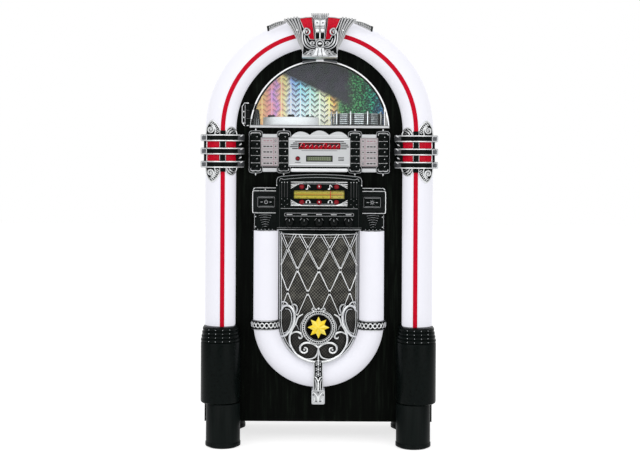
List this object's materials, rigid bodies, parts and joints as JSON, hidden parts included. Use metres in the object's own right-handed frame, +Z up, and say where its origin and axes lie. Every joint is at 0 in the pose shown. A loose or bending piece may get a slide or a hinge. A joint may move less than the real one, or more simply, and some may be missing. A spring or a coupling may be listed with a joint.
{
  "type": "cd jukebox radio",
  "caption": "Floor-standing arched jukebox with lit pillars, a windowed disc chamber, key panel, radio dial with knobs, U-shaped lamp and a chrome lattice speaker grille.",
  "frame": {"origin": "on the floor, under the middle of the object's bounding box", "axes": "+Z up, -Y out of the front with the window and controls, +X to the viewer's right when facing the front"},
  "size_m": [0.575, 0.31, 1.0491],
  "materials": {
    "black_wood": "black wood-grain film, satin",
    "black_board": "plain black board",
    "white_plastic": "white moulded plastic",
    "prism_foil": "prismatic foil card",
    "lamp_white": "translucent white cover",
    "red_stripe": "red strip",
    "chrome_trim": "bright chrome plate on moulded plastic",
    "red_lens": "translucent red",
    "black_gloss": "gloss black",
    "black_leg": "black lacquered turning",
    "rubber_pad": "matt black",
    "black_metal": "black painted hinge",
    "silver_frame": "silver plated rim",
    "clear_pane": "clear acrylic pane",
    "black_plastic": "black moulded plastic",
    "stack_plastic": "black and silver stack",
    "key_black": "gloss black key",
    "knob_black": "gloss black knob",
    "title_card": "printed card",
    "silver_plastic": "silver painted moulding",
    "name_plate": "black plate with red bars",
    "lcd": "grey-green display glass",
    "dial_yellow": "yellow printed scale",
    "needle_red": "red needle",
    "cloth": "dark woven speaker cloth",
    "badge_black": "gloss black disc",
    "star_yellow": "yellow faceted star",
    "driver_metal": "black basket and magnet",
    "board": "circuit board with parts",
    "iron_core": "laminated core and winding",
    "led_strip": "white lamp strip",
    "screw_steel": "zinc-plated screws"
  },
  "bodies": {
    "cabinet": {"cabinet_shell": "black_wood", "front_panel": "black_wood", "back_panel": "black_board", "base_board": "black_board", "deck_shelf": "white_plastic", "foil_backdrop": "prism_foil", "lamp_covers": "lamp_white", "red_stripes": "red_stripe", "side_clamps": "chrome_trim", "red_lenses": "red_lens", "crest": "chrome_trim", "pedestals": "black_gloss", "legs": "black_leg", "foot_pads": "rubber_pad", "door_hinge": "black_metal", "disc_deck": "white_plastic", "changer_arm": "black_plastic", "disc_stack": "stack_plastic", "key_frames": "black_gloss", "dummy_keys": "key_black", "title_cards": "title_card", "player_fascia": "silver_plastic", "name_plate": "name_plate", "lcd_glass": "lcd", "radio_fascia": "black_gloss", "dial_plate": "silver_plastic", "dial_scale": "dial_yellow", "bow_lamp": "lamp_white", "bow_trim": "chrome_trim", "grille_lattice": "chrome_trim", "speaker_cloth": "cloth", "badge_disc": "badge_black", "star_badge": "star_yellow", "speaker_drivers": "driver_metal", "main_board": "board", "transformer": "iron_core", "led_strips": "led_strip", "mains_inlet": "black_plastic", "back_screws": "screw_steel"},
    "window_door": {"door_frame": "silver_frame", "door_pane": "clear_pane"},
    "disc_spindle": {"spindle": "black_plastic"},
    "dial_needle": {"needle": "needle_red"},
    "power_button": {"power_button": "key_black"},
    "light_button": {"light_button": "key_black"},
    "mode_key": {"mode_key": "key_black"},
    "timer_key": {"timer_key": "key_black"},
    "play_key": {"play_key": "key_black"},
    "stop_key": {"stop_key": "key_black"},
    "program_key": {"program_key": "key_black"},
    "next_key": {"next_key": "key_black"},
    "back_key": {"back_key": "key_black"},
    "track_up_key": {"track_up_key": "key_black"},
    "track_down_key": {"track_down_key": "key_black"},
    "repeat_key": {"repeat_key": "key_black"},
    "volume_knob": {"volume_knob": "knob_black"},
    "tuning_knob": {"tuning_knob": "knob_black"},
    "bass_knob": {"bass_knob": "knob_black"},
    "treble_knob": {"treble_knob": "knob_black"},
    "function_knob": {"function_knob": "knob_black"}
  },
  "joints": [
    {"name": "window_hinge", "type": "hinge", "parent": "cabinet", "child": "window_door", "pos_m": [-0.1765, -0.078, 0.805], "axis": [0, 0, -1], "range_deg": [0, 95]},
    {"name": "spindle_turn", "type": "hinge", "parent": "cabinet", "child": "disc_spindle", "pos_m": [-0.072, 0.0125, 0.79], "axis": [0, 0, 1], "continuous": true},
    {"name": "needle_slide", "type": "slide", "parent": "cabinet", "child": "dial_needle", "axis": [1, 0, 0], "range_m": [-0.084, 0.028]},
    {"name": "volume_turn", "type": "hinge", "parent": "cabinet", "child": "volume_knob", "pos_m": [-0.072, -0.105, 0.5435], "axis": [0, 1, 0], "range_deg": [-150, 150]},
    {"name": "tuning_turn", "type": "hinge", "parent": "cabinet", "child": "tuning_knob", "pos_m": [-0.036, -0.105, 0.5435], "axis": [0, 1, 0], "range_deg": [-675, 225]},
    {"name": "bass_turn", "type": "hinge", "parent": "cabinet", "child": "bass_knob", "pos_m": [0, -0.105, 0.5435], "axis": [0, 1, 0], "range_deg": [-150, 150]},
    {"name": "treble_turn", "type": "hinge", "parent": "cabinet", "child": "treble_knob", "pos_m": [0.036, -0.105, 0.5435], "axis": [0, 1, 0], "range_deg": [-150, 150]},
    {"name": "function_turn", "type": "hinge", "parent": "cabinet", "child": "function_knob", "pos_m": [0.072, -0.105, 0.5435], "axis": [0, 1, 0], "range_deg": [-45, 45]},
    {"name": "power_press", "type": "slide", "parent": "cabinet", "child": "power_button", "axis": [0, 1, 0], "range_m": [0, 0.004], "stiffness_N_per_m": 400, "springref_m": -0.002},
    {"name": "light_press", "type": "slide", "parent": "cabinet", "child": "light_button", "axis": [0, 1, 0], "range_m": [0, 0.004], "stiffness_N_per_m": 400, "springref_m": -0.002},
    {"name": "mode_press", "type": "slide", "parent": "cabinet", "child": "mode_key", "axis": [0, 1, 0], "range_m": [0, 0.003], "stiffness_N_per_m": 400, "springref_m": -0.002},
    {"name": "timer_press", "type": "slide", "parent": "cabinet", "child": "timer_key", "axis": [0, 1, 0], "range_m": [0, 0.003], "stiffness_N_per_m": 400, "springref_m": -0.002},
    {"name": "play_press", "type": "slide", "parent": "cabinet", "child": "play_key", "axis": [0, 1, 0], "range_m": [0, 0.003], "stiffness_N_per_m": 400, "springref_m": -0.002},
    {"name": "stop_press", "type": "slide", "parent": "cabinet", "child": "stop_key", "axis": [0, 1, 0], "range_m": [0, 0.003], "stiffness_N_per_m": 400, "springref_m": -0.002},
    {"name": "program_press", "type": "slide", "parent": "cabinet", "child": "program_key", "axis": [0, 1, 0], "range_m": [0, 0.003], "stiffness_N_per_m": 400, "springref_m": -0.002},
    {"name": "next_press", "type": "slide", "parent": "cabinet", "child": "next_key", "axis": [0, 1, 0], "range_m": [0, 0.003], "stiffness_N_per_m": 400, "springref_m": -0.002},
    {"name": "back_press", "type": "slide", "parent": "cabinet", "child": "back_key", "axis": [0, 1, 0], "range_m": [0, 0.003], "stiffness_N_per_m": 400, "springref_m": -0.002},
    {"name": "track_up_press", "type": "slide", "parent": "cabinet", "child": "track_up_key", "axis": [0, 1, 0], "range_m": [0, 0.003], "stiffness_N_per_m": 400, "springref_m": -0.002},
    {"name": "track_down_press", "type": "slide", "parent": "cabinet", "child": "track_down_key", "axis": [0, 1, 0], "range_m": [0, 0.003], "stiffness_N_per_m": 400, "springref_m": -0.002},
    {"name": "repeat_press", "type": "slide", "parent": "cabinet", "child": "repeat_key", "axis": [0, 1, 0], "range_m": [0, 0.003], "stiffness_N_per_m": 400, "springref_m": -0.002}
  ],
  "couplings": [
    {"joint": "needle_slide", "follows": "tuning_turn", "m_per_rad": 0.00713}
  ]
}
